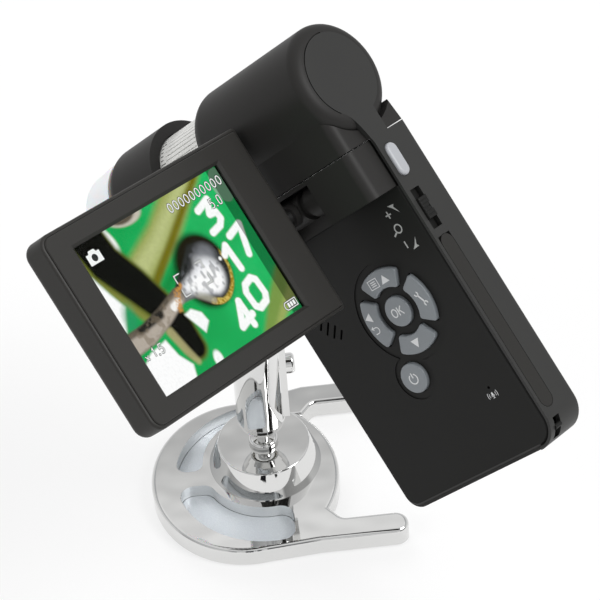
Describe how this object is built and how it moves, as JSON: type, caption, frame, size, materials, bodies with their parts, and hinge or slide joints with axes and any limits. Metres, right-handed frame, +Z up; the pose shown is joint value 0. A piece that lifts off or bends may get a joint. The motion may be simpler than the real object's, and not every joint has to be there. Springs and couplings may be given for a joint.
{
  "type": "lcd digital microscope",
  "caption": "Hand-held digital microscope with a barrel, knurled focus ring, keypad handle and swing-out screen, held in a tilting clamp on a forked metal table stand.",
  "frame": {"origin": "on the table, under the centre of the stand's ball", "axes": "+Z up, +X along the two prongs of the base, Y across them; the microscope leans over the stand with its keypad and screen towards -Y"},
  "size_m": [0.1457, 0.1433, 0.1752],
  "materials": {
    "black_case": "fine matt texture",
    "screen_black": "fine matt texture",
    "rear_grey": "satin",
    "key_grey": "satin",
    "silver_key": "satin silver",
    "ring_white": "satin",
    "frosted_cap": "frosted",
    "clear_glass": "clear",
    "display": "gloss",
    "chrome_plate": "polished",
    "steel": "brushed",
    "satin_metal": "frosted",
    "pad_rubber": "matt",
    "board": "satin",
    "battery_wrap": "satin",
    "liner_plastic": "natural white"
  },
  "bodies": {
    "base": {"base_plate": "chrome_plate", "base_cone": "chrome_plate", "base_screw": "steel", "base_sole": "pad_rubber", "recess_liners": "satin_metal"},
    "ball": {"ball_stud": "chrome_plate"},
    "socket_cup": {"ball_liner": "liner_plastic"},
    "stem": {"stem": "chrome_plate"},
    "holder": {"tilt_arm": "chrome_plate", "pivot_knob": "chrome_plate", "arm_rivet": "chrome_plate", "clamp_body": "chrome_plate", "clamp_back_pad": "pad_rubber"},
    "jaw": {"clamp_jaw": "chrome_plate", "clamp_front_pad": "pad_rubber"},
    "clamp_screw": {"clamp_screw": "steel"},
    "microscope": {"barrel_housing": "black_case", "rear_plate": "rear_grey", "main_shell": "black_case", "keypad_cover": "black_case", "hinge_block": "black_case", "barrel_fairing": "black_case", "side_fairing": "black_case", "case_screws": "steel", "usb_socket": "steel", "card_socket": "steel", "strap_bar": "steel", "main_board": "board", "battery": "battery_wrap", "speaker": "rear_grey", "microphone": "steel", "front_tube": "black_case", "collar": "black_case", "light_cap": "frosted_cap", "lamp_board": "board", "lamps": "frosted_cap", "sensor_board": "board", "hinge_axle": "steel"},
    "snapshot_button": {"snapshot_button": "silver_key"},
    "zoom_slider": {"zoom_slider": "rear_grey"},
    "port_flap": {"port_flap": "pad_rubber"},
    "battery_door": {"battery_door": "black_case"},
    "focus_ring": {"focus_ring": "ring_white"},
    "lens_carrier": {"lens_carrier": "black_case", "lens": "clear_glass"},
    "knuckle": {"fold_knuckle": "black_case", "swivel_shaft": "steel"},
    "screen": {"screen_cover": "screen_black", "screen_bezel": "screen_black", "screen_glass": "clear_glass", "screen_module": "display", "screen_board": "board"},
    "ok_key": {"ok_key": "key_grey"},
    "power_key": {"power_key": "key_grey"},
    "up_key": {"up_key": "key_grey"},
    "down_key": {"down_key": "key_grey"},
    "forward_key": {"forward_key": "key_grey"},
    "menu_key": {"menu_key": "key_grey"}
  },
  "joints": [
    {"name": "ball_swivel", "type": "hinge", "parent": "base", "child": "ball", "pos_m": [0, 0.0048, 0.0246], "axis": [0, 0, 1], "continuous": true},
    {"name": "ball_tilt", "type": "hinge", "parent": "ball", "child": "socket_cup", "pos_m": [0, 0.0048, 0.0246], "axis": [1, 0, 0], "range_deg": [-20, 20]},
    {"name": "stem_twist", "type": "hinge", "parent": "socket_cup", "child": "stem", "pos_m": [0, 0.0048, 0.0246], "axis": [0, -0.1575, 0.9875], "range_deg": [-120, 120]},
    {"name": "arm_tilt", "type": "hinge", "parent": "stem", "child": "holder", "pos_m": [0.0065, 0, 0.0547], "axis": [1, 0, 0], "range_deg": [-20, 15]},
    {"name": "clamp_turn", "type": "hinge", "parent": "holder", "child": "clamp_screw", "pos_m": [0.01458, 0.01239, 0.08445], "axis": [-0.6505, -0.7152, 0.2557], "range_deg": [0, 1440]},
    {"name": "jaw_slide", "type": "slide", "parent": "holder", "child": "jaw", "axis": [-0.6505, -0.7152, 0.2557], "range_m": [0, 0.0028]},
    {"name": "microscope_lift_out", "type": "slide", "parent": "holder", "child": "microscope", "axis": [0.6202, -0.3058, 0.7224], "range_m": [0, 0.025]},
    {"name": "screen_fold", "type": "hinge", "parent": "microscope", "child": "knuckle", "pos_m": [0.01628, -0.01112, 0.12744], "axis": [0.6202, -0.3058, 0.7224], "range_deg": [0, 25]},
    {"name": "screen_swivel", "type": "hinge", "parent": "knuckle", "child": "screen", "pos_m": [0.01004, -0.01799, 0.1299], "axis": [-0.6505, -0.7152, 0.2557], "range_deg": [-90, 180]},
    {"name": "focus_turn", "type": "hinge", "parent": "microscope", "child": "focus_ring", "pos_m": [-0.00744, 0.02031, 0.12097], "axis": [-0.6202, 0.3058, -0.7224], "range_deg": [-150, 150]},
    {"name": "lens_travel", "type": "slide", "parent": "microscope", "child": "lens_carrier", "axis": [-0.6202, 0.3058, -0.7224], "range_m": [-0.0015, 0.0015]},
    {"name": "snapshot_press", "type": "slide", "parent": "microscope", "child": "snapshot_button", "axis": [-0.6202, 0.3058, -0.7224], "range_m": [0, 0.0006], "stiffness_N_per_m": 900, "springref_m": -0.0005},
    {"name": "zoom_rock", "type": "slide", "parent": "microscope", "child": "zoom_slider", "axis": [-0.4384, 0.6285, 0.6425], "range_m": [-0.002, 0.002], "stiffness_N_per_m": 300},
    {"name": "port_flap_open", "type": "hinge", "parent": "microscope", "child": "port_flap", "pos_m": [0.07856, -0.06604, 0.09571], "axis": [0.6505, 0.7152, -0.2557], "range_deg": [0, 110]},
    {"name": "battery_door_slide", "type": "slide", "parent": "microscope", "child": "battery_door", "axis": [0.4384, -0.6285, -0.6425], "range_m": [0, 0.025]},
    {"name": "ok_key_press", "type": "slide", "parent": "microscope", "child": "ok_key", "axis": [0.6505, 0.7152, -0.2557], "range_m": [0, 0.0006], "stiffness_N_per_m": 800, "springref_m": -0.0005},
    {"name": "power_key_press", "type": "slide", "parent": "microscope", "child": "power_key", "axis": [0.6505, 0.7152, -0.2557], "range_m": [0, 0.0006], "stiffness_N_per_m": 800, "springref_m": -0.0005},
    {"name": "up_key_press", "type": "slide", "parent": "microscope", "child": "up_key", "axis": [0.6505, 0.7152, -0.2557], "range_m": [0, 0.0006], "stiffness_N_per_m": 800, "springref_m": -0.0005},
    {"name": "down_key_press", "type": "slide", "parent": "microscope", "child": "down_key", "axis": [0.6505, 0.7152, -0.2557], "range_m": [0, 0.0006], "stiffness_N_per_m": 800, "springref_m": -0.0005},
    {"name": "forward_key_press", "type": "slide", "parent": "microscope", "child": "forward_key", "axis": [0.6505, 0.7152, -0.2557], "range_m": [0, 0.0006], "stiffness_N_per_m": 800, "springref_m": -0.0005},
    {"name": "menu_key_press", "type": "slide", "parent": "microscope", "child": "menu_key", "axis": [0.6505, 0.7152, -0.2557], "range_m": [0, 0.0006], "stiffness_N_per_m": 800, "springref_m": -0.0005}
  ],
  "couplings": [
    {"joint": "clamp_turn", "follows": "jaw_slide", "rad_per_m": 8976},
    {"joint": "focus_turn", "follows": "lens_travel", "rad_per_m": 1666.7}
  ]
}
